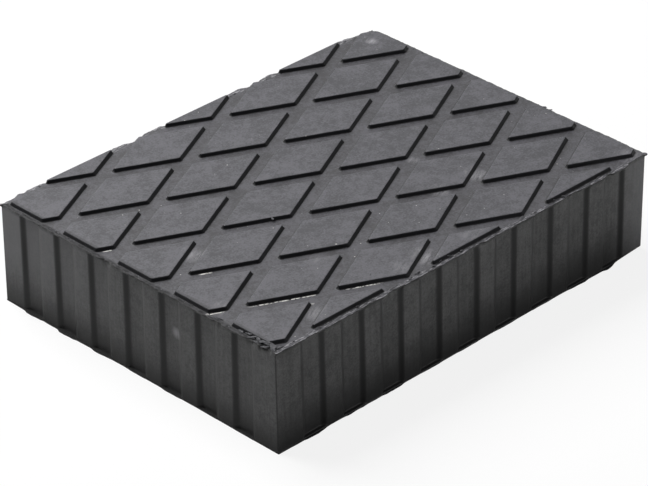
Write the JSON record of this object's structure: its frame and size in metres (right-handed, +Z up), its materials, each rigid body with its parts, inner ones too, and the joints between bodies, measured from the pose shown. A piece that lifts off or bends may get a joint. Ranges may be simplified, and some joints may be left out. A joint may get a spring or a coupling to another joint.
{
  "type": "car lift rubber pad",
  "caption": "Moulded rubber block for the arm of a vehicle lift: flat sole, raised diamond tread on top, shallow upright flutes between thin rims on all sides.",
  "frame": {"origin": "middle of the flat sole, at floor level", "axes": "+X along the length, +Y across the width, +Z up to the tread"},
  "size_m": [0.1606, 0.122, 0.0355],
  "materials": {
    "moulded_rubber": "compression moulded, matt, with a light grey bloom"
  },
  "bodies": {
    "root": {"rubber_pad": "moulded_rubber"}
  },
  "joints": []
}
